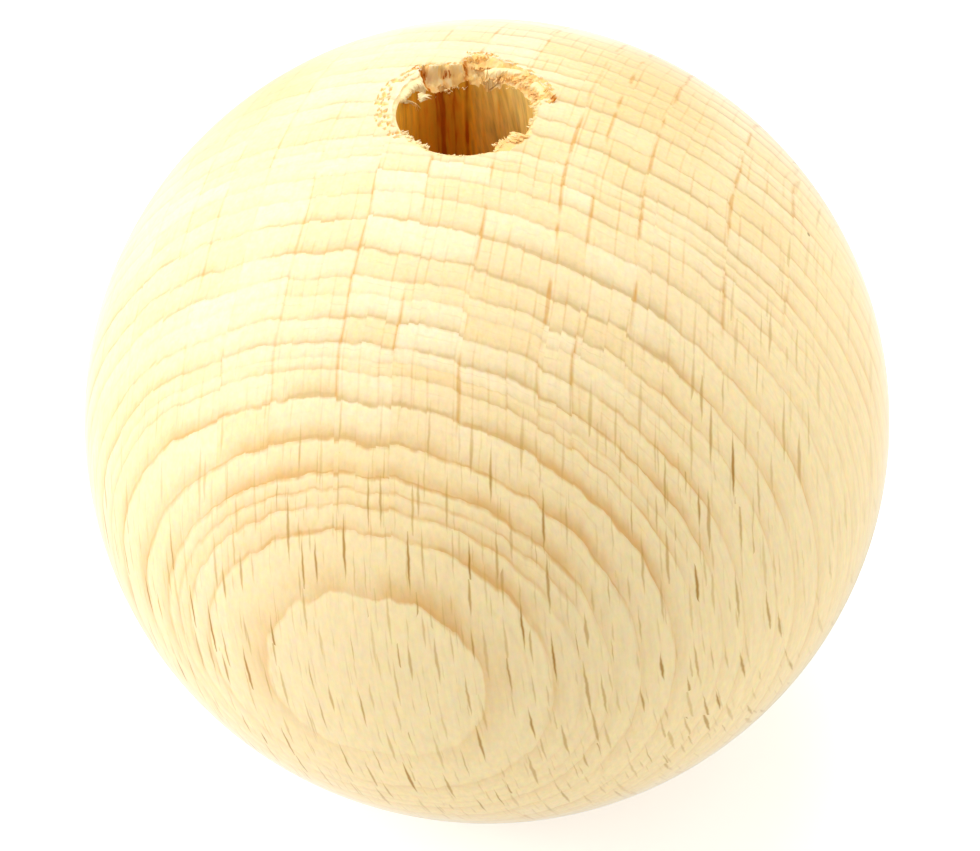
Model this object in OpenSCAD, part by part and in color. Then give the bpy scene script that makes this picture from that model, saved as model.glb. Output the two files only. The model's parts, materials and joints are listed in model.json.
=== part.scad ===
// Turned beech ball with a drilled through hole.
// The ball is one piece of wood, turned between centres and drilled along its grain. The drill went in
// cleanly at the lower mouth, where the ball stands, and tore chips out of the upper one as it came through.
// The origin is the centre of the ball, and +Z runs up the hole.

/* [Ball] */
// Diameter of the ball
ball_d = 50; // [25:1:100]

/* [Hole] */
// Diameter of the drilled hole
hole_d = 8; // [4:0.5:14]

/* [Torn mouth] */
// Furthest reach of the tear out from the wall of the hole
tear_reach = 1.8; // [0.6:0.1:2.4]
// Greatest depth of the tear below the edge of the mouth
tear_depth = 1.7; // [0.6:0.1:3]
// Bearing of the tear's widest place, counted from +X towards +Y
tear_bearing = 80; // [0:5:355]
// Width of a chip where it left the wall of the hole
chip_width = 0.6; // [0.5:0.1:2]
// Most by which one chip falls short of the full tear, as a share of it
chip_shortfall = 0.3; // [0:0.05:0.6]
// Seed that picks one pattern of chips
chip_seed = 7; // [1:1:99]

/* [Hidden] */

ball_r = ball_d / 2;
hole_r = hole_d / 2;
// Height of both mouths, where the wall of the hole meets the round of the ball
mouth_z = sqrt(ball_r * ball_r - hole_r * hole_r);
// Slope of the round of the ball at the mouth, which falls away from the hole
mouth_slope = hole_r / mouth_z;
// Length by which the drill passes both mouths
drill_overrun = 1;

// The full tear round the mouth. Each row has a bearing past tear_bearing, the reach as a share of
// tear_reach, and the depths at the outer edge and at the wall as shares of tear_depth
tear_rows = [
    [0, 1.0, 0.05, 0.65],
    [8, 0.45, 0.15, 0.65],
    [12, 0.3, 0.3, 0.75],
    [26, 0.45, 0.45, 1.0],
    [38, 0.75, 0.5, 0.9],
    [42, 0.7, 0.4, 0.8],
    [47, 0.3, 0.15, 0.6],
    [60, 0.2, 0.05, 0.3],
    [76, 0, 0, 0],
    [205, 0, 0, 0],
    [220, 0.3, 0.05, 0.25],
    [242, 0.3, 0.05, 0.25],
    [255, 0, 0, 0],
    [282, 0.1, 0.05, 0.15],
    [291, 0.55, 0.1, 0.35],
    [305, 0.6, 0.1, 0.55],
    [320, 0.55, 0.15, 0.4],
    [340, 0.6, 0.15, 0.6],
    [354, 0.9, 0.05, 0.85],
    [360, 1.0, 0.05, 0.65]
];
// Least reach that leaves a chip, as a share of tear_reach
least_reach = 0.08;

// Whole number of chips that the mouth has room for
chip_count = floor(PI * hole_d / chip_width);
// Share of its pitch by which a chip strays round the mouth
chip_stray = 0.4;
// Share by which a chip is wider than its pitch, so that it meets the next one
chip_overlap = 0.25;
// How much a chip widens on its way out from the hole, and the share of its reach where it is widest
chip_flare = 1.3;
chip_shoulder = 0.75;
// Height of the chips' top over the mouth, clear of the wood
chip_top = 1;

// One row of numbers from 0 to 1 for each chip: its stray, reach, depth and point
chip_luck = [for (i = [0 : chip_count - 1]) rands(0, 1, 4, chip_seed + i)];

// A column of tear_rows read at a bearing past tear_bearing
function tear(bearing, column) =
    lookup(bearing, [for (row = tear_rows) [row[0], row[column]]]);

// Share of the full tear that a chip's luck leaves it
function chip_share(luck) = 1 - chip_shortfall * luck;

// Outline of a chip from above: it widens on its way out and ends in a blunt point
module chip_plan(width, reach, point) {
    shoulder = reach * chip_shoulder;
    polygon([
        [-hole_r / 2, -width / 2],
        [0, -width / 2],
        [shoulder, -width * chip_flare / 2],
        [reach, width * (point - 0.5)],
        [shoulder, width * chip_flare / 2],
        [0, width / 2],
        [-hole_r / 2, width / 2]
    ]);
}

// Outline of a chip from the side, with its floor from the wall up to the outer edge
module chip_side(reach, outer_depth, wall_depth) {
    polygon([
        [-hole_r, chip_top],
        [-hole_r, -wall_depth],
        [0, -wall_depth],
        [reach, -outer_depth - mouth_slope * reach],
        [reach, chip_top]
    ]);
}

// One chip, split off along the grain and broken across at its floor
module chip(width, reach, outer_depth, wall_depth, point) {
    tall = wall_depth + chip_top + drill_overrun;
    translate([hole_r, 0, mouth_z])
        intersection() {
            translate([0, 0, -wall_depth - drill_overrun])
                linear_extrude(height = tall)
                    chip_plan(width, reach, point);
            rotate([90, 0, 0])
                linear_extrude(height = 2 * width * chip_flare, center = true)
                    chip_side(reach, outer_depth, wall_depth);
        }
}

// All chips that the drill pulled out of the upper mouth
module torn_mouth() {
    pitch = 360 / chip_count;
    for (i = [0 : chip_count - 1]) {
        luck = chip_luck[i];
        bearing = pitch * (i + chip_stray * luck[0]);
        if (tear(bearing, 1) > least_reach)
            rotate(tear_bearing + bearing)
                chip(width = chip_width * (1 + chip_overlap),
                     reach = tear_reach * tear(bearing, 1) * chip_share(luck[1]),
                     outer_depth = tear_depth * tear(bearing, 2) * chip_share(luck[2]),
                     wall_depth = tear_depth * tear(bearing, 3) * chip_share(luck[2]),
                     point = luck[3]);
    }
}

// The whole ball
module ball() {
    color("burlywood")
        difference() {
            sphere(r = ball_r, $fn = 128);
            cylinder(h = 2 * (ball_r + drill_overrun), r = hole_r, center = true, $fn = 96);
            torn_mouth();
        }
}

ball();
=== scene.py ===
"""Looks of a turned beech ball that is drilled right through along its grain.

The ball is one turned piece, with a clean lower mouth and a torn upper one. Its growth rings, rays and
fibres are worked out in the wood's own coordinates, a radius from the pith, an arc round it and a
height along the fibres, so that end grain, rings and flecks meet on every side as in solid wood.
"""
import json
import math
import random
from functools import reduce

import bmesh
import bpy
from mathutils import Matrix, Vector, noise


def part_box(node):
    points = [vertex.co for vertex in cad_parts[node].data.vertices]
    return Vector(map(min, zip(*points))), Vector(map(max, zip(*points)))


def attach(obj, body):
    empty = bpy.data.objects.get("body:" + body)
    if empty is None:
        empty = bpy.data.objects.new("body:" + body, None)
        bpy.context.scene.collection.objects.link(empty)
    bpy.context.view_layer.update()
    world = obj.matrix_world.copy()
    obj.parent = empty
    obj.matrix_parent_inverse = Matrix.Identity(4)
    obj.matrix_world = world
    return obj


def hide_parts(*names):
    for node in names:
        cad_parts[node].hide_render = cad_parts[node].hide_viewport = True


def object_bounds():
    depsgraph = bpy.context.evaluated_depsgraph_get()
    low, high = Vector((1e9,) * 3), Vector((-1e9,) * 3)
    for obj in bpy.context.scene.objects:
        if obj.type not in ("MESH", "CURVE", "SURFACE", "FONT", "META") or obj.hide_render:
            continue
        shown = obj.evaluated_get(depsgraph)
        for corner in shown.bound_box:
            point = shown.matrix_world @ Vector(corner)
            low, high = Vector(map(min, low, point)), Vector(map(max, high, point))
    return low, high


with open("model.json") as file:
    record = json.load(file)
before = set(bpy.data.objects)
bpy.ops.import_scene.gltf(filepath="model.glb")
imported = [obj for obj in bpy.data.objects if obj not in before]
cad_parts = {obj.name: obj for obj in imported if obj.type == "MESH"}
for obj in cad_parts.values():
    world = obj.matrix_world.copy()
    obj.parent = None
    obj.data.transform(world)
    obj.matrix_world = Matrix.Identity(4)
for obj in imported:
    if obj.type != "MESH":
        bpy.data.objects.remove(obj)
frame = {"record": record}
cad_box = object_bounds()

MM = 0.001
UP = Vector((0, 0, 1))

# ---------------------------------------------------------------- sizes, in metres, from the frame
low_corner, high_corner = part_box("ball")
ball_r = (high_corner.x - low_corner.x) / 2
hole_r = frame["record"]["mounts"][0]["dims"]["r_mm"] * MM
mouth_z = math.sqrt(ball_r ** 2 - hole_r ** 2)

# ---------------------------------------------------------------- the log that the ball was turned from
# Lean of the fibres away from the hole, and the bearing that they lean towards, from +X towards +Y
fibre_lean = math.radians(8)
fibre_bearing = math.radians(120)
# Distance and bearing of the pith from the centre of the ball
pith_distance = 165 * MM
pith_bearing = math.radians(72.3)
# Growth rings from the bark side inwards: width in mm, and darkness of the late wood at its bark side
rings = (
    (1.7, 0.5), (1.2, 0.7), (0.6, 0.7), (0.4, 0.5), (0.4, 0.5), (1.0, 0.9), (1.4, 0.85), (1.1, 1.0),
    (0.5, 0.5), (0.6, 0.3), (1.1, 0.8), (1.1, 0.7), (0.8, 0.3), (1.3, 0.7), (1.8, 1.0), (1.6, 1.0),
    (1.4, 0.5), (1.2, 0.6), (0.7, 0.45), (0.8, 0.45), (1.7, 0.7), (1.4, 0.75), (2.0, 0.8), (1.6, 0.75),
    (1.2, 0.7), (1.1, 0.5), (1.2, 0.5), (1.9, 0.7), (1.4, 0.6), (1.6, 0.6), (1.2, 0.7), (1.7, 0.5),
    (1.5, 0.6), (1.3, 0.7), (1.8, 0.6), (1.4, 0.5), (1.6, 0.7), (1.5, 0.6), (1.7, 0.6), (1.4, 0.6),
)
# How far the bark side of the first ring lies outside the ball, and the widest ring, in mm
bark_clearance = 0.9
widest_ring = 2.0
# Sectors between rays, wide and narrow: their width, and how far their rings may lie off, in mm
sector_widths = ((2.9, 1.1), (0.9, 0.5), (0.3, 0.1))
# A pin knot that just breaks the surface: its place and its radius
knot_place, knot_radius = Vector((19.6, -2.1, 15.3)) * MM, 0.14 * MM
# How much the red, green and blue of the wood differ from blot to blot
mottle_size = (0.22, 0.22, 0.6)

# ---------------------------------------------------------------- the torn mouth
# Bearing in degrees; then in mm the reach out from the hole, the drop at the outer edge, the drop at
# the wall and the lift of the fibres; then how brown the broken wood is, partly its own brown and
# partly painted shade, deepest in the recess and the crevices
tear_stations = (
    (0, 0.15, 0.05, 0.2, 0.0, 0.2),
    (5, 0.35, 0.1, 0.4, 0.0, 0.32),
    (11, 1.0, 0.15, 0.6, 0.05, 0.38),
    (25, 1.05, 0.2, 0.9, 0.05, 0.42),
    (36, 1.05, 0.25, 0.7, 0.05, 0.45),
    (50, 1.0, 0.25, 0.8, 0.0, 0.42),
    (60, 1.15, 0.25, 1.1, 0.0, 0.42),
    (69, 1.4, 0.1, 1.5, 0.08, 0.42),
    (76, 1.75, 0.05, 1.3, 0.12, 0.33),
    (81, 1.8, 0.05, 1.1, 0.12, 0.26),
    (84, 1.5, 0.15, 1.1, 0.08, 0.42),
    (88, 0.8, 0.35, 1.1, 0.03, 0.85),
    (91, 0.4, 0.5, 1.15, 0.0, 0.45),
    (97, 0.4, 0.6, 1.4, 0.0, 0.42),
    (106, 0.65, 0.8, 1.65, 0.0, 0.4),
    (113, 0.95, 0.9, 1.6, 0.0, 0.4),
    (117, 1.2, 0.9, 1.5, 0.0, 0.5),
    (120, 0.9, 0.7, 1.35, 0.0, 1.0),
    (124, 0.5, 0.3, 1.05, 0.0, 0.15),
    (140, 0.35, 0.15, 0.5, 0.0, 0.05),
    (156, 0.2, 0.06, 0.15, 0.0, 0.03),
    (216, 0.12, 0.05, 0.12, 0.0, 0.05),
    (285, 0.12, 0.05, 0.15, 0.0, 0.2),
    (300, 0.4, 0.12, 0.3, 0.0, 0.4),
    (322, 0.4, 0.12, 0.3, 0.0, 0.3),
    (335, 0.15, 0.08, 0.2, 0.0, 0.25),
)
# The lip that the drill pushed up: bearing in degrees and reach out from the hole in mm. Its outer edge
# is crumbled into small pits
lip_stations = (
    (0, 0), (4, 0.6), (11, 1.2), (40, 1.2), (64, 1.4), (74, 1.8), (81, 2.05), (88, 0.9), (92, 0.5),
    (100, 0.6), (116, 1.35), (131, 1.3), (144, 1.38), (162, 1.18), (178, 0.98), (194, 0.7), (207, 0.3),
    (216, 0),
)
# Height of the lip, the width over which it rises, and the least width of it that has pits
lip_height, lip_slope, least_lip = 0.06 * MM, 0.25 * MM, 0.3 * MM
# How far the edge of the lip wanders and how uneven its height is, and the size of either's waves
lip_wander, edge_wave = 0.12 * MM, 0.7 * MM
lip_unevenness, height_wave = 1.3, 0.45 * MM
# Width and depth of a pit, and the luck above which there is one, at the edge and further in
pit, pit_depth = 0.18 * MM, 0.12 * MM
edge_luck, inner_luck = 0.15, 0.55

# Widest band round the mouth that may be torn, and its depth down the wall
torn_band = 2.3 * MM
torn_depth = 2.2 * MM
# Widths of a chunk, a bundle and a strand of fibres; how much each changes the reach of the break and a
# chunk its drop, as shares of them; and how far the ends of bundles and strands differ in height
chunk, bundle, strand = 0.8 * MM, 0.32 * MM, 0.12 * MM
chunk_reach, bundle_reach, strand_reach = 0.14, 0.12, 0.05
chunk_drop = 0.16
bundle_height, strand_height = 0.09 * MM, 0.03 * MM
# How much browner or paler a bundle is than its neighbours, and how much painted shade browns a pit
bundle_brown, pit_shade = 0.26, 0.45
# Width over which the break goes down at its outer border; and how ragged that border is, and how finely
border = 0.22 * MM
raggedness, ragged_width = 0.3, 0.5 * MM
# The least drop of the break, and the drop at the wall from which the bundles differ in full
least_drop, full_drop = 0.02 * MM, 0.9 * MM

# Dark streaks down the wall of the hole: bearing in degrees, drift in degrees to the mm, half width in
# degrees, and how dark
wall_streaks = (
    (87, 0.5, 2.2, 1.0), (109, 0.3, 2.0, 0.85), (114, 0.3, 1.2, 0.3), (59, 0.4, 1.6, 0.35),
    (98, 0.4, 1.0, 0.25), (73, 0.6, 1.2, 0.2), (133, 0.3, 2.0, 0.35), (38, 0.5, 1.4, 0.25),
    (150, 0.2, 1.5, 0.3), (205, 0.3, 2.5, 0.5), (262, 0.3, 2.0, 0.6), (310, 0.3, 2.4, 0.4),
)
# Faint streaks between them: how many, then the least and the most of each of those four values
faint_streaks = 70
faint_limits = ((0, 360), (0.2, 0.6), (0.5, 1.4), (0.06, 0.22))
# Painted shade on the wall of the hole: how brown it is all over, paler at low bearings where the light
# falls and browner from about 90 to 130 degrees, in shade; bearing in degrees, and the share
wall_shade_stations = (
    (0, 0.05), (40, 0.05), (62, 0.12), (78, 0.22), (88, 0.4), (98, 0.7), (112, 0.74), (128, 0.62),
    (140, 0.46), (180, 0.4), (300, 0.25),
)


def between(stations, bearing):
    """The values of a table at a bearing in radians, eased from each station to the next."""
    degrees = math.degrees(bearing) % 360
    wrapped = stations + ((360,) + stations[0][1:],)
    for before, after in zip(wrapped, wrapped[1:]):
        if degrees <= after[0]:
            share = (degrees - before[0]) / (after[0] - before[0])
            ease = share * share * (3 - 2 * share)
            return [a + (b - a) * ease for a, b in zip(before[1:], after[1:])]


def luck_of(place, width, seed):
    """A number from -1 to 1 that all places in one clump of fibres share."""
    spot = noise.voronoi(Vector((place.x / width, place.y / width, seed)))[1][0]
    return noise.cell(spot * 7.3)


# ---------------------------------------------------------------- the turned ball
# Steps round the ball; then rows of faces along its round, across the torn band, down the torn part of
# the wall, down the fine part under it, and down the rest; then how deep the fine part goes
turns = 480
arc_rows = 80
band_rows = 46
tear_rows = 36
wall_rows = 24
deep_rows = 10
fine_wall = 7 * MM
# What lies nearer to the axis than this is on the wall of the hole
wall_limit = hole_r * 1.0005


def ball_section(bm):
    """Half the section of the ball: its round from mouth to mouth, then the wall of the hole."""
    bottom = math.asin(hole_r / ball_r)
    band = math.asin((hole_r + torn_band) / ball_r)
    tip = bmesh.ops.create_vert(bm, co=(hole_r, 0, -mouth_z))["vert"]
    for rows, angle in ((arc_rows, math.pi - bottom - band), (band_rows, band - bottom)):
        out = bmesh.ops.spin(bm, geom=tip, cent=(0, 0, 0), axis=(0, -1, 0), angle=angle, steps=rows,
                             use_merge=False)
        tip = [v for v in out["geom_last"] if isinstance(v, bmesh.types.BMVert)]
    deep = 2 * mouth_z - torn_depth - fine_wall
    for rows, drop in ((tear_rows, torn_depth), (wall_rows, fine_wall), (deep_rows, deep)):
        for _ in range(rows):
            tip = bmesh.ops.extrude_vert_indiv(bm, verts=tip)["verts"]
            bmesh.ops.translate(bm, verts=tip, vec=(0, 0, -drop / rows))


def break_height(place, tear):
    """How far the wood is broken away below the round of the ball, at a place in plan."""
    reach, outer_drop, wall_drop, lift = [value * MM for value in tear[:4]]
    big = luck_of(place, chunk, seed=1.5)
    middle = luck_of(place, bundle, seed=4.5)
    small = luck_of(place, strand, seed=9.5)
    ragged = noise.noise(place / ragged_width) * raggedness
    share = (place.length - hole_r) / reach
    inside = 1 - (share + chunk_reach * big + bundle_reach * middle + strand_reach * small + ragged)
    if inside < 0:
        return 0
    edge = min(1, inside * reach / border)
    slope = max(0, 1 - share) ** 1.3
    drop = (outer_drop + (wall_drop - outer_drop) * slope) * (1 + chunk_drop * big)
    drop += (bundle_height * middle + strand_height * small) * min(1, wall_drop / full_drop)
    return edge * (max(least_drop, drop) - lift * (1 - slope) * (1.5 + middle))


def lip_rise(place, bearing):
    """How far the lip stands up at a place in plan; below nought in its pits."""
    reach = between(lip_stations, bearing)[0] * MM + lip_wander * noise.noise(place / edge_wave)
    inside = (reach - (place.length - hole_r)) / lip_slope
    crumbled = luck_of(place, pit, seed=6.5) > (edge_luck if inside < 1 else inner_luck)
    if -1 < inside < 2.4 and reach > least_lip and crumbled:
        return -pit_depth
    uneven = 1 + lip_unevenness * noise.noise(place / height_wave)
    return lip_height * uneven * min(1, max(0, inside))


def fine_streaks():
    """Many faint streaks all round the wall, between the named ones."""
    luck = random.Random(21)
    return tuple([luck.uniform(*limits) for limits in faint_limits] for _ in range(faint_streaks))


every_streak = wall_streaks + fine_streaks()


def streak_at(bearing, depth):
    """How dark the wall of the hole is at a bearing in degrees and a depth in mm."""
    dark = 0
    for middle, drift, half_width, level in every_streak:
        if abs((bearing - middle - drift * depth + 180) % 360 - 180) > 4 * half_width + 2:
            continue
        wave = 1.2 * noise.noise(Vector((middle, depth * 0.5, 0)))
        off = (bearing - middle - drift * depth - wave + 180) % 360 - 180
        patchy = 0.75 + 0.5 * noise.noise(Vector((middle, depth * 0.9, 5)))
        dark = max(dark, level * patchy * math.exp(-(off / half_width) ** 2))
    return dark


def tear_mouth(bm):
    """Break the fibres round the upper mouth at uneven heights, and mark how brown the wood is: partly its
    own brown and partly painted shade.
    """
    torn = bm.verts.layers.float.new("torn")
    brown_and_shade_layer = bm.verts.layers.float.new("brown_and_shade")
    floor_z = mouth_z - torn_depth
    for vert in bm.verts:
        place = Vector((vert.co.x, vert.co.y, 0))
        bearing = math.atan2(place.y, place.x)
        on_wall = place.length < wall_limit
        if on_wall:
            place.length = hole_r
            streak = streak_at(math.degrees(bearing), (mouth_z - vert.co.z) / MM)
            # The wall's streaks, with painted shade that changes with bearing
            vert[brown_and_shade_layer] = max(streak, between(wall_shade_stations, bearing)[0] + 0.6 * streak)
        if vert.co.z < floor_z or place.length > hole_r + torn_band:
            continue
        tear = between(tear_stations, bearing)
        drop = break_height(place, tear)
        # Brown of the broken wood: its own, varying bundle by bundle, and partly painted shade
        brown = tear[4] + bundle_brown * luck_of(place, bundle, seed=2.5)
        if on_wall:
            left = (mouth_z - drop - floor_z) / torn_depth
            vert[torn] = 1 if drop and vert.co.z > mouth_z - 0.01 * MM else 0
            vert.co.z = floor_z + (vert.co.z - floor_z) * left
            if vert[torn]:
                vert[brown_and_shade_layer] = brown
            continue
        vert[brown_and_shade_layer] = max(vert[brown_and_shade_layer], brown)
        if drop:
            vert.co.z -= drop
            vert[torn] = 1
            continue
        rise = lip_rise(place, bearing)
        vert.co.z += rise
        if rise < 0:
            vert[torn] = 1
            # Painted shade in the pit
            vert[brown_and_shade_layer] = pit_shade


def new_object(name, bm, materials):
    """An object of its own, made of a finished bmesh and its materials."""
    mesh = bpy.data.meshes.new(name)
    bm.to_mesh(mesh)
    bm.free()
    for material in materials:
        mesh.materials.append(material)
    piece = bpy.data.objects.new(name, mesh)
    bpy.context.scene.collection.objects.link(piece)
    return piece


def turned_ball(sanded, torn, drilled):
    """The ball with its hole, torn at the upper mouth."""
    bm = bmesh.new()
    ball_section(bm)
    bmesh.ops.spin(bm, geom=bm.verts[:] + bm.edges[:], cent=(0, 0, 0), axis=UP, angle=2 * math.pi,
                   steps=turns, use_merge=True)
    bmesh.ops.remove_doubles(bm, verts=bm.verts[:], dist=0.001 * MM)
    bmesh.ops.recalc_face_normals(bm, faces=bm.faces[:])
    tear_mouth(bm)
    mark = bm.verts.layers.float["torn"]
    for face in bm.faces:
        on_wall = all(math.hypot(v.co.x, v.co.y) < wall_limit for v in face.verts)
        is_torn = not on_wall and sum(v[mark] for v in face.verts) > 1.5
        face.material_index = 2 if on_wall else 1 if is_torn else 0
        face.smooth = True
    for edge in bm.edges:
        if len({f.material_index for f in edge.link_faces}) > 1:
            edge.smooth = False
    piece = new_object("turned_ball", bm, (sanded, torn, drilled))
    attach(piece, "root")
    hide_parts("ball")


# ---------------------------------------------------------------- loose fibres in the mouth
# Each row is a fan of tufts: bearing and spread in degrees, distance from the axis and depth under the
# round of the ball in mm, how many, lean inwards from upright and lean to the side in degrees, length
# and width of a tuft in mm, curl over the length in degrees, and how brown they are, partly their own
# brown and partly painted shade
tuft_fans = (
    # splinters under and beside the far flap
    (71, 3, 4.2, 1.5, 3, -4, 12, 1.2, 0.3, 10, 0.05),
    (52, 8, 4.4, 0.9, 5, 5, 0, 0.8, 0.25, 10, 0.25),
    (62, 14, 4.35, 1.0, 8, 12, 0, 0.4, 0.3, 20, 0.45),
    (58, 24, 4.2, 0.75, 10, 50, 0, 0.25, 0.3, 40, 0.3),
    (40, 12, 4.5, 0.45, 7, 40, 0, 0.4, 0.3, 40, 0.38),
    # the tuft on the right
    (9, 8, 4.5, 0.3, 6, 55, 30, 0.6, 0.3, 10, 0.35),
    (12, 12, 4.9, 0.05, 6, -60, 25, 0.35, 0.25, -10, 0.45),
    (7, 3, 5.15, -0.02, 2, -72, 35, 0.5, 0.14, -5, 0.75),
    (26, 18, 4.5, 0.35, 9, 55, 0, 0.4, 0.3, 40, 0.35),
    (38, 16, 4.9, 0.2, 6, 50, 0, 0.3, 0.25, 30, 0.35),
    (3, 8, 4.1, 0.12, 5, 82, 10, 0.25, 0.25, 20, 0.2),
    # stubs on the raised patch
    (80, 14, 5.25, 0.1, 8, 15, 0, 0.22, 0.3, 10, 0.25),
    (79, 12, 5.8, 0.04, 6, 5, 0, 0.14, 0.2, 10, 0.5),
    (76, 14, 4.7, 0.45, 7, 30, 0, 0.3, 0.3, 25, 0.35),
    # upright fibres in the recess, and the broken ends along its floor
    (99, 9, 4.45, 0.95, 5, 0, 0, 0.75, 0.16, 6, 0.95),
    (104, 24, 4.3, 1.5, 12, 10, 0, 0.35, 0.35, 15, 0.3),
    (98, 20, 4.1, 1.35, 8, 35, 0, 0.3, 0.35, 30, 0.15),
    (119, 3, 4.95, 0.9, 3, 5, 0, 0.8, 0.16, 6, 1.0),
    # the white chip and the curls inside the left wall
    (141, 6, 3.2, 0.5, 5, 75, 60, 0.4, 0.3, 30, 0.0),
    (149, 3, 3.75, 0.55, 2, 95, 60, 0.9, 0.16, 45, 0.1),
    # frayed ends of the overhangs
    (217, 30, 3.85, 0.04, 9, 88, 0, 0.16, 0.3, 6, 0.0),
    (262, 56, 4.05, 0.03, 6, 88, 0, 0.08, 0.3, 8, 0.1),
    (308, 26, 3.75, 0.1, 10, 86, -8, 0.3, 0.3, 6, 0.15),
    (299, 4, 3.65, 0.25, 4, 84, 15, 0.3, 0.3, 25, 1.0),
    (316, 12, 4.2, -0.02, 5, 84, 30, 0.5, 0.2, 0, 0.5),
    (345, 26, 4.05, 0.04, 9, 86, 0, 0.14, 0.35, 12, 0.05),
)
# Fibres in a tuft; their width, sides and tapers from root to tip
fibres_in_tuft = 7
fibre_width = 0.1 * MM
fibre_sides = 4
fibre_tapers = (0.95, 0.75, 0.3)
fibre_steps = len(fibre_tapers)
# Sheets of fibres that hang over the hole, each at its first and its last bearing: the bearing in
# degrees, then in mm the distance of its root from the axis, the depth of the root, the reach inwards
# and the droop; then how brown it is, partly its own brown and partly painted shade
torn_sheets = (
    ((62, 74), (4.5, 4.5), (0.3, 0.4), (0.4, 0.45), (0.6, 1.7), 0.03),
    ((45, 70), (5.05, 4.6), (0.03, 0.3), (0.4, 0.45), (0.2, 0.4), 0.03),
    ((14, 32), (4.95, 4.95), (0.05, 0.05), (0.5, 0.5), (0.25, 0.3), 0.12),
    ((124, 160), (4.45, 4.35), (0.04, 0.04), (0.7, 0.55), (0.4, 0.2), 0.0),
    ((202, 233), (4.25, 4.25), (0.04, 0.04), (0.45, 0.55), (0.1, 0.1), 0.0),
    ((291, 323), (4.45, 4.45), (0.04, 0.04), (1.1, 1.0), (0.15, 0.05), 0.35),
)
# Rows of faces from a sheet's root to its edge, degrees from one column to the next, and thickness
sheet_rows = 10
sheet_step = 0.5
sheet_thickness = 0.09 * MM


def grow_fibre(bm, brown_and_shade_layer, root, way, side, length, curl, brown):
    """One torn fibre: a flat blade that grows from its root, bends and thins to a ragged tip."""
    thin = way.cross(side).normalized()
    placed = Matrix((side, thin, way)).transposed().to_4x4()
    placed.translation = root - way * fibre_width
    flat = Matrix.Diagonal((fibre_width / 2, fibre_width / 4, 1, 1))
    out = bmesh.ops.create_circle(bm, cap_ends=True, segments=fibre_sides, radius=1, matrix=placed @ flat)
    grown = list(out["verts"])
    tip = grown[0].link_faces[0]
    for taper in fibre_tapers:
        part = bmesh.ops.extrude_face_region(bm, geom=[tip])["geom"]
        verts = [v for v in part if isinstance(v, bmesh.types.BMVert)]
        tip = next(f for f in part if isinstance(f, bmesh.types.BMFace))
        way = Matrix.Rotation(curl / fibre_steps, 3, side) @ way
        bmesh.ops.translate(bm, verts=verts, vec=way * (length + fibre_width) / fibre_steps)
        centre = Matrix.Translation(-tip.calc_center_median())
        bend = Matrix.Rotation(curl / fibre_steps, 4, side)
        bmesh.ops.transform(bm, verts=verts, space=centre, matrix=Matrix.Scale(taper, 4) @ bend)
        grown += verts
    for vert in grown:
        vert[brown_and_shade_layer] = brown


def grow_tuft(bm, brown_and_shade_layer, luck, root, way, side, length, width, curl, brown):
    """Fibres that broke off side by side, with their tips at uneven heights."""
    thin = way.cross(side)
    for _ in range(fibres_in_tuft):
        own_root = root + side * width * luck.uniform(-0.5, 0.5) + thin * width * luck.gauss(0, 0.15)
        fan = Matrix.Rotation(math.radians(luck.gauss(0, 5)), 3, thin)
        grow_fibre(bm, brown_and_shade_layer, own_root, fan @ way, fan @ side, length * luck.uniform(0.45, 1.15),
                   math.radians(curl + luck.gauss(0, 9)), brown + luck.uniform(-0.12, 0.15))


def round_height(away):
    """Height of the round of the ball over its centre at a distance from the axis."""
    return math.sqrt(ball_r ** 2 - away ** 2)


def grow_sheet(bm, brown_and_shade_layer, bearings, roots, depths, reaches, droops, brown):
    """A thin flap of fibres with a frayed edge, which droops over the edge of the hole."""
    columns = round((bearings[1] - bearings[0]) / sheet_step)
    placed = Matrix.Translation((0.5, 0.5, 0))
    out = bmesh.ops.create_grid(bm, x_segments=columns, y_segments=sheet_rows, size=0.5, matrix=placed)
    for vert in out["verts"]:
        across, along = vert.co.x, vert.co.y
        bearing, root, depth, reach, droop = [
            pair[0] + (pair[1] - pair[0]) * across for pair in (bearings, roots, depths, reaches, droops)]
        spot = Vector((bearing, 3, 0))
        frayed = 1 + 0.4 * noise.noise(spot / 6) + 0.25 * noise.noise(spot / 1.7) + 0.12 * noise.noise(spot)
        ends = math.sin(math.pi * min(0.5, 3 * min(across, 1 - across))) ** 0.6
        away = (root - reach * frayed * ends * math.sin(along * math.pi / 2)) * MM
        ridge = 0.02 * along * noise.noise(Vector((bearing / 2, along * 0.7, 8)))
        sway = 2 * along * noise.noise(Vector((bearing / 5, along * 2, 1)))
        turn = math.radians(bearing + sway)
        sunk = (depth + (1 - ends) * 0.1 + droop * along ** 2.2 * ends + ridge) * MM
        vert.co = (away * math.cos(turn), away * math.sin(turn), round_height(away) - sunk)
        vert[brown_and_shade_layer] = brown + 0.25 * abs(noise.noise(spot / 1.2))
    bmesh.ops.solidify(bm, geom=bm.faces[:], thickness=sheet_thickness)


def grow_fan(bm, brown_and_shade_layer, luck, bearing, spread, radius, depth, count, lean, swing, length, width, curl,
             brown):
    """Tufts side by side along the mouth."""
    for number in range(count):
        part = (number + luck.uniform(-0.4, 0.4)) / max(1, count - 1) - 0.5
        turn = math.radians(bearing + spread * part)
        inward = -Vector((math.cos(turn), math.sin(turn), 0))
        side = UP.cross(inward)
        away = (radius + luck.gauss(0, 0.08)) * MM
        root = -inward * away
        root.z = round_height(away) - depth * MM * luck.uniform(0.85, 1.2)
        tilt = Matrix.Rotation(math.radians(lean + luck.gauss(0, 5)), 3, side)
        sway = Matrix.Rotation(math.radians(swing + luck.gauss(0, 9)), 3, UP)
        grow_tuft(bm, brown_and_shade_layer, luck, root, sway @ tilt @ UP, sway @ side,
                  length * MM * luck.uniform(0.7, 1.2), width * MM * luck.uniform(0.7, 1.3),
                  curl + luck.gauss(0, 10), brown + luck.uniform(-0.1, 0.15))


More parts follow.
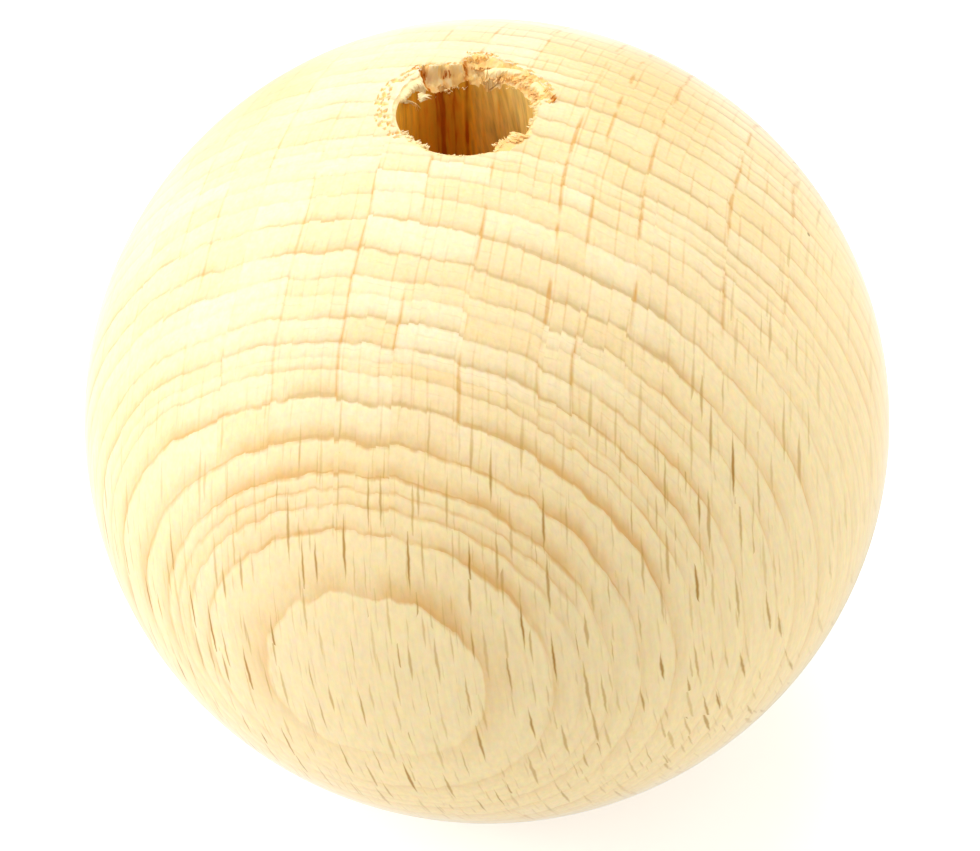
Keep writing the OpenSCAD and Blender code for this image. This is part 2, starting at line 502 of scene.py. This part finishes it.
def torn_fibres(torn):
    """Tufts, chips and flaps that still hang in the torn mouth."""
    luck = random.Random(5)
    whole = bmesh.new()
    whole.verts.layers.float.new("brown_and_shade")
    for grow, rows in ((grow_fan, [(luck, *fan) for fan in tuft_fans]), (grow_sheet, torn_sheets)):
        for row in rows:
            bm = bmesh.new()
            grow(bm, bm.verts.layers.float.new("brown_and_shade"), *row)
            bmesh.ops.recalc_face_normals(bm, faces=bm.faces[:])
            part = bpy.data.meshes.new("part")
            bm.to_mesh(part)
            bm.free()
            whole.from_mesh(part)
            bpy.data.meshes.remove(part)
    piece = new_object("torn_fibres", whole, (torn,))
    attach(piece, "root")


# ---------------------------------------------------------------- the grain, with its lengths in mm
# Heights between which the side of the log turns into end grain
end_grain_height = (11, 18)
# How far the rings wander, slowly and quickly, and how far the middle ones drift off for each mm of arc
slow_wave, quick_wave, ring_drift = 0.5, 0.3, 0.03
# How far the rays bend, and how much of the sectors' offset shows on the side of the log, at half
# height and towards its ends
ray_bend = 1.6
side_offset = (0.08, 0.25)
# Thin lines of ray along the borders of wide and of narrow sectors: half width, strength and seed
ray_lines = ((0.17, 1.45, 3.0), (0.1, 0.5, 9.0))
# A ring's dark line, the short fade behind it and the broad fade over its late wood: width and
# strength. Of a pair, the first holds on the side of the log and the second on end grain
line_width, line_strength = (0.09, 0.23), 0.42
fade_width, fade_strength = 0.7, (0.62, 0.36)
broad_strength = (0.3, 0.43)
# A faint second line in each ring: the share of the ring that it lies at, its half width and strength
twin_place, twin_width, twin_strength = 0.6, 0.14, 0.2
# How much a ring's lines and fades change along the ring, from least to most
line_luck, fade_luck = (0.35, 1.6), (0.5, 1.5)
# Large and small rays that end as flecks: their spacing across the arc, along the fibres and inwards,
# the least and the most half width and half height, and a seed
large_rays = (1.08, 3.7, 3, (0.06, 0.095), (1.0, 2.2), 0.0)
small_rays = (0.9, 2.4, 2.2, (0.03, 0.06), (0.5, 1.3), 31.7)
# How far the rays waver, how soft a fleck's edge is, how strongly flecks show on the side of the log and
# on end grain, and how strong the small ones are beside the large
ray_wave, ray_edge, fleck_strength, small_strength = 0.14, 0.05, (1.05, 0.1), 0.5
# Size of the grain of the fibres and of the blots, across the wood and along it
fibre_grain, blot_grain = (0.25, 3.0), (0.35, 0.6)
# How far the fibres stand out of the wood, in metres, and how rough the sheen of their ends is
fibre_relief, sheen_roughness = 0.01 * MM, 0.22


class Wiring:
    """Lays out the nodes of one material, or of the world, in short calls. A world has no shader."""

    def __init__(self, owner):
        owner.use_nodes = True
        self.owner = owner
        self.tree = owner.node_tree
        self.shader = self.tree.nodes.get("Principled BSDF")

    def put(self, socket, value):
        """Link a socket to another one, or set it to a plain value."""
        if isinstance(value, bpy.types.NodeSocket):
            self.tree.links.new(value, socket)
        else:
            socket.default_value = value

    def node(self, kind, inputs, **settings):
        """A new node with its settings, and its inputs linked or set."""
        node = self.tree.nodes.new("ShaderNode" + kind)
        for name, value in settings.items():
            setattr(node, name, value)
        for key, value in inputs.items():
            self.put(node.inputs[key], value)
        return node

    def math(self, operation, *values, clamp=False):
        """The outcome of one Math node."""
        inputs = dict(enumerate(values))
        return self.node("Math", inputs, operation=operation, use_clamp=clamp).outputs[0]

    def plus(self, *values):
        """All the values added up."""
        return reduce(lambda one, other: self.math("ADD", one, other), values)

    def times(self, *values):
        """All the values multiplied."""
        return reduce(lambda one, other: self.math("MULTIPLY", one, other), values)

    def most(self, *values):
        """The highest of the values."""
        return reduce(lambda one, other: self.math("MAXIMUM", one, other), values)

    def less(self, value, other):
        """The value less the other."""
        return self.math("SUBTRACT", value, other)

    def over(self, value, size):
        """The value divided by a size."""
        return self.math("DIVIDE", value, size)

    def rest(self, share):
        """What a share leaves of 1."""
        return self.less(1, share)

    def size_of(self, value):
        """The value without its sign."""
        return self.math("ABSOLUTE", value)

    def blend(self, share, low, high):
        """A number that goes from low to high as share goes from 0 to 1."""
        return self.node("Mix", {0: share, 2: low, 3: high}).outputs[0]

    def tint(self, share, low, high, mode="MIX"):
        """A colour that goes from low to high as share goes from 0 to 1."""
        inputs = {0: share, 6: low, 7: high}
        return self.node("Mix", inputs, data_type="RGBA", blend_type=mode).outputs[2]

    def step(self, value, start, end):
        """0 up to start, 1 from end on, and smooth between."""
        inputs = {"Value": value, "From Min": start, "From Max": end}
        return self.node("MapRange", inputs, interpolation_type="SMOOTHSTEP").outputs[0]

    def spot(self, *parts):
        """A place in a pattern. Each part is a value, or a value and the size that it is divided by."""
        placed = [self.over(*part) if isinstance(part, tuple) else part for part in parts]
        return self.node("CombineXYZ", dict(enumerate(placed))).outputs[0]

    def noise(self, place, scale=1.0, detail=2.0):
        """A soft random number from 0 to 1 at a place in a pattern."""
        inputs = {"Vector": place, "Scale": scale, "Detail": detail}
        return self.node("TexNoise", inputs).outputs["Fac"]

    def colours_of(self, socket):
        """The three numbers of a colour."""
        return self.node("SeparateColor", {0: socket}).outputs

    def curve(self, value, points):
        """A number read off straight lines between points."""
        node = self.node("FloatCurve", {"Value": value})
        line = node.mapping.curves[0]
        line.points[0].location = points[0]
        line.points[1].location = points[-1]
        for place in points[1:-1]:
            line.points.new(*place)
        for point in line.points:
            point.handle_type = "VECTOR"
        node.mapping.update()
        return node.outputs[0]


class Wood:
    """Where each point lies in the log, in mm, and what grew there."""

    def __init__(self, wiring):
        self.wiring = wiring
        self.find_place()
        self.grow_rings(self.part_sectors())

    def find_place(self):
        """Radius from the pith, arc round it and height along the fibres."""
        w = self.wiring
        fibre = Vector((math.sin(fibre_lean) * math.cos(fibre_bearing),
                        math.sin(fibre_lean) * math.sin(fibre_bearing), math.cos(fibre_lean)))
        to_pith = Vector((math.cos(pith_bearing), math.sin(pith_bearing), 0))
        outward = -(to_pith - fibre * to_pith.dot(fibre)).normalized()
        turn = Matrix((outward, fibre.cross(outward), fibre))
        coords = w.node("TexCoord", {}).outputs["Object"]
        in_log = w.node("Mapping", {"Vector": coords, "Scale": (1 / MM,) * 3,
                                    "Rotation": turn.to_euler(),
                                    "Location": (pith_distance / MM, 0, 0)}).outputs[0]
        x, y, self.height = w.node("SeparateXYZ", {0: in_log}).outputs
        self.radius = w.math("SQRT", w.plus(w.times(x, x), w.times(y, y)))
        self.arc = w.times(w.math("ARCTAN2", y, x), pith_distance / MM)
        self.end_grain = w.step(w.size_of(self.height), *end_grain_height)
        away = w.node("VectorMath", {0: coords, 1: knot_place}, operation="DISTANCE").outputs["Value"]
        self.pin_knot = w.step(away, 1.4 * knot_radius, 0.6 * knot_radius)

    def area(self, arc, height):
        """1 in an area of the ball and 0 beyond it; each pair says where it starts and where it is full."""
        w = self.wiring
        return w.times(w.step(self.arc, *arc), w.step(self.height, *height))

    def part_sectors(self):
        """Rays part the wood into sectors; returns how far the rings of each sector lie off, in mm."""
        w = self.wiring
        bend = w.noise(w.spot((self.radius, 12), (self.height, 12), 2))
        bent = w.plus(self.arc, w.times(bend, ray_bend))
        lags, self.borders, sectors = [], [], []
        for width, shift in sector_widths:
            cut = {"W": w.over(bent, width), "Scale": 1.0}
            cell = w.node("TexVoronoi", cut, voronoi_dimensions="1D")
            gap = w.node("TexVoronoi", cut, voronoi_dimensions="1D", feature="DISTANCE_TO_EDGE")
            own = w.colours_of(cell.outputs["Color"])[0]
            spot = w.spot(w.times(own, 60), (self.radius, 7 * width), (self.height, 9 * width))
            lags.append(w.times(w.less(w.noise(spot, detail=1.0), 0.5), shift))
            self.borders.append(w.times(gap.outputs["Distance"], width))
            sectors.append(own)
        self.sector = sectors[0]
        side = w.blend(w.step(w.size_of(self.height), 4, 13), *side_offset)
        return w.times(w.plus(*lags), w.blend(self.end_grain, side, 1.0))

    def grow_rings(self, lag):
        """Depth under the bark, and how far each point lies from the two edges of its ring, in mm."""
        w = self.wiring
        slow = w.noise(w.spot((self.arc, 9), (self.height, 40), 0))
        quick = w.noise(w.spot(self.arc, (self.height, 6), 7), scale=1.1)
        bark = w.plus(lag, bark_clearance + (pith_distance + ball_r) / MM)
        for wave, size in ((slow, slow_wave), (quick, quick_wave)):
            bark = w.plus(w.times(w.less(wave, 0.5), size), bark)
        depth = w.less(bark, self.radius)
        middle = w.times(w.step(depth, 4, 8), w.step(depth, 18, 14))
        self.depth = w.less(w.plus(bark, w.times(middle, w.times(self.arc, ring_drift))), self.radius)
        count = len(rings)
        span = sum(width for width, _ in rings)
        edges = [(sum(width for width, _ in rings[:i]) / span, i / count) for i in range(count + 1)]
        age = w.times(w.curve(w.over(self.depth, span), edges), count)
        self.number = w.math("FLOOR", age)
        self.share = w.less(age, self.number)
        own = w.over(w.plus(self.number, 0.5), count)
        centres = [(i + 0.5) / count for i in range(count)]
        widths = [width / widest_ring for width, _ in rings]
        tones = [tone for _, tone in rings]
        width = w.times(w.curve(own, list(zip(centres, widths))), widest_ring)
        self.late_tone = w.curve(own, list(zip(centres, tones)))
        self.next_tone = w.curve(own, list(zip(centres, tones[1:] + tones[-1:])))
        self.past = w.times(self.share, width)
        self.left = w.less(width, self.past)

    def find_bands(self):
        """Short thin lines where rays run across the end grain, between the sectors."""
        w = self.wiring
        lines = []
        for gap, (half_width, level, seed) in zip(self.borders, ray_lines):
            height = w.plus(w.over(self.height, 6), seed)
            spot = w.spot((self.arc, 1.7), (self.radius, 2.6), height)
            length = w.step(w.noise(spot), 0.38, 0.62)
            lines.append(w.times(w.step(gap, half_width, 0.0), w.times(length, level)))
        uneven = w.blend(self.brick_tone(), 0.5, 1.2)
        stronger_right = w.blend(w.step(self.arc, -6, 5), 0.35, 1.0)
        strength = w.times(uneven, stronger_right)
        return w.math("MULTIPLY", w.times(w.most(*lines), strength), self.end_grain, clamp=True)

    def brick_tone(self):
        """One luck from 0 to 1 for each ring in each sector of the end grain."""
        w = self.wiring
        spot = w.spot(self.sector, self.number, 0)
        return w.node("TexWhiteNoise", {"Vector": spot}, noise_dimensions="3D").outputs["Value"]

    def ring_darkness(self):
        """A thin dark line at each ring's bark side, which fades inwards over the late wood."""
        w = self.wiring
        uneven = w.noise(w.spot((self.arc, 0.9), w.times(self.number, 3.7), (self.height, 3)))
        uneven = w.blend(w.step(uneven, 0.3, 0.7), *line_luck)
        patchy = w.noise(w.spot((self.arc, 4.5), w.times(self.number, 5.3), (self.height, 9)))
        patchy = w.blend(w.step(patchy, 0.3, 0.7), *fade_luck)
        deep = w.step(self.depth, 1.9, 2.8)
        late = w.rest(self.share)
        line = w.rest(w.step(self.past, 0.02, w.blend(self.end_grain, *line_width)))
        line = w.times(line, w.times(uneven, w.blend(deep, 0.3, 1.0)), line_strength)
        fade = w.times(w.step(self.past, fade_width, 0.05), late)
        fade = w.times(fade, patchy, w.blend(self.end_grain, *fade_strength))
        broad = w.times(w.math("POWER", late, 1.4), patchy, w.blend(self.end_grain, *broad_strength))
        inside = w.times(w.plus(line, w.plus(fade, broad)), self.late_tone)
        rise = w.rest(w.step(self.left, 0.0, w.blend(deep, 0.07, 0.12)))
        outside = w.times(rise, w.blend(deep, patchy, uneven), w.times(self.next_tone, 0.8))
        dark = w.most(inside, w.times(self.twin_line(), uneven), outside)
        return w.times(dark, self.ring_strength())

    def twin_line(self):
        """A faint second line within a ring, on end grain and on the right."""
        w = self.wiring
        away = w.size_of(w.times(w.less(self.share, twin_place), widest_ring))
        shown = w.most(self.end_grain, w.step(self.arc, 5, 9))
        return w.times(w.step(away, twin_width, 0.0), shown, twin_strength)

    def ring_strength(self):
        """How strongly the rings show: less low down and to both sides, and less on the top, where they are
        painted fainter as washed out by the strong light.
        """
        w = self.wiring
        # Painted light: the rings fade on the top towards the left, where the strong light washes them out
        washed_top_painted = self.area(arc=(7, -1), height=(17, 24))
        right = w.times(self.area(arc=(14, 18), height=(15, 11)), 0.75)
        low_right = self.area(arc=(7, 11), height=(8, 2))
        left = w.times(w.step(self.arc, -2, -9), 0.45)
        low = w.step(self.height, 4, -5)
        faint = w.most(right, low_right, left, low)
        return w.times(w.blend(washed_top_painted, 1.0, 0.7), w.blend(faint, 1.0, 0.25))

    def rays(self, spacing, rise, reach, half_width, half_height, seed):
        """Spindles of ray tissue, thin across the arc, tall along the fibres and long in the radius."""
        w = self.wiring
        wave = w.noise(w.spot((self.arc, 3), (self.height, 0.9), seed))
        column = w.over(w.plus(self.arc, w.times(wave, ray_wave)), spacing)
        place = w.spot(w.plus(column, seed), (self.height, rise), (self.radius, reach))
        cells = w.node("TexVoronoi", {"Vector": place, "Scale": 1.0, "Randomness": 0.9})
        offset = w.node("VectorMath", {0: place, 1: cells.outputs["Position"]}, operation="SUBTRACT")
        across, along, inward = w.node("SeparateXYZ", {0: offset.outputs[0]}).outputs
        tall, thick, strong = w.colours_of(cells.outputs["Color"])
        across = w.size_of(w.times(across, spacing))
        along = w.over(w.times(along, rise), w.blend(tall, *half_height))
        inward = w.times(inward, 1.7)
        far = w.plus(w.times(along, along), w.times(inward, inward))
        swell = w.times(w.rest(far), w.blend(along, 1.0, 0.6))
        body = w.less(w.times(swell, w.blend(thick, *half_width)), across)
        return w.times(w.step(body, -ray_edge, ray_edge), w.blend(strong, 0.3, 0.92))

    def flecks(self):
        """Thin dark flecks where rays end on the side of the log."""
        w = self.wiring
        every = w.most(self.rays(*large_rays), w.times(self.rays(*small_rays), small_strength))
        left = self.area(arc=(-4, -9), height=(3, 9))
        flat = w.step(w.size_of(self.arc), 18, 23.5)
        fainter = w.times(w.blend(left, 1.0, 0.35), w.blend(flat, 1.0, 0.3))
        strength = w.blend(self.end_grain, *fleck_strength)
        return w.math("MULTIPLY", w.times(every, strength), fainter, clamp=True)


# ---------------------------------------------------------------- materials
def shade(red, green, blue):
    """A solid colour from its red, green and blue."""
    return (red, green, blue, 1)


white = shade(1, 1, 1)


def bricks(w, wood, early, light, golden):
    """End grain in pale and golden bricks, one to each ring of a sector, and a golden heart; on the left,
    where the strong light falls, the colour is painted paler and less golden, as washed out: painted light.
    """
    # Painted light: the bricks are less golden on the left, where the strong light falls
    golden_less_on_lit_left = w.blend(w.step(wood.arc, -4, 5), 0.5, 0.85)
    patches = w.tint(wood.brick_tone(), light, w.tint(golden_less_on_lit_left, light, golden))
    # Pale on end grain, and painted paler on the lit left as washed out by the light; less so to the right
    pale_end_and_lit_left = w.most(wood.end_grain, w.times(w.step(wood.arc, 2, -7), 0.6))
    pale_end_and_lit_left = w.times(pale_end_and_lit_left, w.blend(w.step(wood.arc, 3, 10), 0.75, 0.5))
    heart = w.times(w.step(wood.height, 17, 21), w.step(wood.radius, 171, 161))
    heart = w.times(heart, w.step(w.size_of(wood.arc), 6, 11))
    return w.tint(w.times(heart, 0.8), w.tint(pale_end_and_lit_left, early, patches), golden)


def browned_and_shaded(w, colour, fibres, tan, brown_and_shade):
    """Broken or drilled wood, as brown as its mesh says, and browner fibre by fibre. The mesh's brown is
    partly the wood's own and partly painted shade.
    """
    brown = w.node("Attribute", {}, attribute_name="brown_and_shade").outputs["Fac"]
    patchy = w.times(brown, w.blend(fibres, 0.5, 1.5))
    colour = w.tint(w.step(patchy, 0.0, 0.55), colour, tan)
    return w.tint(w.step(patchy, 0.5, 1.0), colour, brown_and_shade)


def mottled(w, wood, colour, fibres, streaky):
    """The colour with its blots and its fibres."""
    across, along = blot_grain
    blots = w.spot((wood.arc, across), (wood.radius, across), (wood.height, along))
    mottle = w.node("TexNoise", {"Vector": blots, "Scale": 1.0, "Detail": 3.0, "Roughness": 0.7})
    even = w.spot(*(1 - size / 2 for size in mottle_size))
    tone = w.node("VectorMath", {0: mottle.outputs["Color"], 1: mottle_size, 2: even},
                  operation="MULTIPLY_ADD")
    tone = w.node("VectorMath", {0: tone.outputs[0], "Scale": w.blend(fibres, *streaky)},
                  operation="SCALE")
    return w.tint(1.0, colour, tone.outputs[0], mode="MULTIPLY")


def beech(name, early, late, band, ray, roughness, bump, light=None, golden=None, faint_ray=None,
          end_late=None, knot=None, tan=None, brown_and_shade=None, streaky=(0.9, 1.09), shine=0.3, sheen=0.0):
    """Bare beech: pale early wood, darker late wood, and rays across both."""
    w = Wiring(bpy.data.materials.new(name))
    wood = Wood(w)
    across, along = fibre_grain
    fibres = w.noise(w.spot((wood.arc, across), (wood.radius, across), (wood.height, along)), detail=4.0)
    darkness = wood.ring_darkness()
    flecks = wood.flecks()
    colour = bricks(w, wood, early, light, golden) if light else early
    late = w.tint(wood.end_grain, late, end_late) if end_late else late
    colour = w.tint(w.math("MINIMUM", darkness, 1.0), colour, late)
    colour = w.tint(w.times(wood.find_bands(), w.blend(darkness, 0.6, 1.5)), colour, band)
    colour = w.tint(flecks, colour, w.tint(flecks, faint_ray, ray) if faint_ray else ray)
    if knot:
        colour = w.tint(wood.pin_knot, colour, knot)
    # The brown that the mesh marks is partly the wood's own and partly painted shade
    if brown_and_shade:
        colour = browned_and_shaded(w, colour, fibres, tan, brown_and_shade)
    bumped = w.node("Bump", {"Strength": bump, "Distance": fibre_relief, "Height": fibres})
    finish = {"Base Color": mottled(w, wood, colour, fibres, streaky),
              "Roughness": w.blend(darkness, roughness, roughness - 0.1),
              "Specular IOR Level": shine, "Sheen Weight": sheen, "Sheen Roughness": sheen_roughness,
              "Normal": bumped.outputs[0]}
    for socket, value in finish.items():
        w.put(w.shader.inputs[socket], value)
    return w.owner


sanded_beech = beech(
    "sanded_beech", early=shade(0.98, 0.785, 0.425), late=shade(0.77, 0.45, 0.15),
    end_late=shade(0.7, 0.5, 0.23), band=shade(0.71, 0.39, 0.11), ray=shade(0.4, 0.18, 0.01),
    faint_ray=shade(0.6, 0.37, 0.06), light=shade(0.99, 0.85, 0.57), golden=shade(0.93, 0.65, 0.29),
    knot=shade(0.45, 0.31, 0.14), roughness=0.6, bump=0.3, sheen=1.0)
# Its tan and its dark brown are laid on where the mesh marks brown, which is partly painted shade
torn_beech = beech(
    "torn_beech", early=shade(0.98, 0.82, 0.46), late=shade(0.9, 0.64, 0.28),
    band=shade(0.94, 0.68, 0.3), ray=shade(0.7, 0.4, 0.1), tan=shade(0.96, 0.62, 0.22),
    brown_and_shade=shade(0.55, 0.16, 0.008), roughness=0.9, bump=0.3, shine=0.1)
# Painted shade, in part: the wall's deep orange and its dark brown stand partly for the shade and the
# bounce light inside the hole
drilled_beech = beech(
    "drilled_beech", early=shade(0.92, 0.66, 0.2), late=shade(0.86, 0.55, 0.12),
    band=shade(0.84, 0.52, 0.1), ray=shade(0.6, 0.28, 0.04), tan=shade(0.84, 0.42, 0.03),
    brown_and_shade=shade(0.4, 0.09, 0.002), streaky=(0.35, 1.65), roughness=0.6, bump=0.6, shine=0.2)
turned_ball(sanded_beech, torn_beech, drilled_beech)
torn_fibres(torn_beech)


# ---------------------------------------------------------------- floor, light and camera
# Half the width of the floor, its own white, its roughness, and how much it glows where it is seen
floor_size, floor_tone = 40 * ball_r, shade(0.86, 0.86, 0.86)
floor_roughness, floor_glow = 0.9, 0.46
# Strength of the even light from all round
room_light = 0.55
# Soft lamps: the way to each from the ball, and its power in watts; then their distance and width
lamps = (
    ("top_light", (0, 0.34, 0.94), 1.33),
    ("left_window", (-0.97, 0, 0.26), 0.76),
    ("left_light", (-0.71, 0, 0.71), 0.96),
    ("right_light", (0.97, 0, 0.26), 0.62),
)
lamp_distance, lamp_width = 0.5, 0.4
# Camera: its elevation, its lean, its distance, the share of the view's width that the ball fills,
# its shift sideways and up, and how near to it things are still seen
camera_elevation = math.radians(43.7)
camera_lean = math.radians(4.0)
camera_distance = 8.15 * ball_r
ball_share = 0.822
camera_shift = (0.003, -0.0046)
nearest_seen = 0.01


def seen_rays(w):
    """1 for rays that show the floor or the room, straight, mirrored or through glass, and 0 for light."""
    path = w.node("LightPath", {})
    kinds = ("Is Camera Ray", "Is Glossy Ray", "Is Transmission Ray")
    return w.most(*(path.outputs[kind] for kind in kinds))


def white_floor():
    """A pale floor that shows white where nothing shades it."""
    bm = bmesh.new()
    bmesh.ops.create_grid(bm, x_segments=1, y_segments=1, size=floor_size)
    bmesh.ops.translate(bm, verts=bm.verts[:], vec=(0, 0, cad_box[0][2]))
    w = Wiring(bpy.data.materials.new("white_floor"))
    w.shader.inputs["Base Color"].default_value = floor_tone
    w.shader.inputs["Roughness"].default_value = floor_roughness
    glow = w.node("Emission", {"Color": white, "Strength": w.times(seen_rays(w), floor_glow)})
    both = w.node("AddShader", {0: w.shader.outputs[0], 1: glow.outputs[0]})
    w.put(w.tree.nodes["Material Output"].inputs["Surface"], both.outputs[0])
    new_object("white_floor", bm, (w.owner,))


def white_room():
    """Even light from all round, in a room that shows white."""
    w = Wiring(bpy.data.worlds.new("white_room"))
    background = w.tree.nodes["Background"]
    background.inputs["Color"].default_value = white
    w.put(background.inputs["Strength"], w.blend(seen_rays(w), room_light, 1.0))
    bpy.context.scene.world = w.owner


def hang_lamp(name, direction, power):
    """A round soft lamp that shines on the ball."""
    lamp = bpy.data.lights.new(name, "AREA")
    lamp.shape = "DISK"
    lamp.size = lamp_width
    lamp.energy = power
    holder = bpy.data.objects.new(name, lamp)
    place = Vector(direction).normalized() * lamp_distance
    holder.location = place
    holder.rotation_euler = place.to_track_quat("Z", "Y").to_euler()
    bpy.context.scene.collection.objects.link(holder)


def stand_camera():
    """The camera, aimed at the centre of the ball."""
    data = bpy.data.cameras.new("camera")
    holder = bpy.data.objects.new("camera", data)
    turn = Matrix.Rotation(math.pi / 2 - camera_elevation, 4, "X")
    lean = Matrix.Rotation(-camera_lean, 4, "Z")
    holder.matrix_world = turn @ lean @ Matrix.Translation((0, 0, camera_distance))
    tangent = math.tan(math.asin(ball_r / camera_distance))
    data.lens = data.sensor_width * ball_share / 2 / tangent
    data.shift_x, data.shift_y = camera_shift
    data.clip_start = nearest_seen
    bpy.context.scene.collection.objects.link(holder)
    bpy.context.scene.camera = holder


white_floor()
white_room()
for lamp in lamps:
    hang_lamp(*lamp)
stand_camera()
bpy.context.scene.view_settings.view_transform = "Standard"
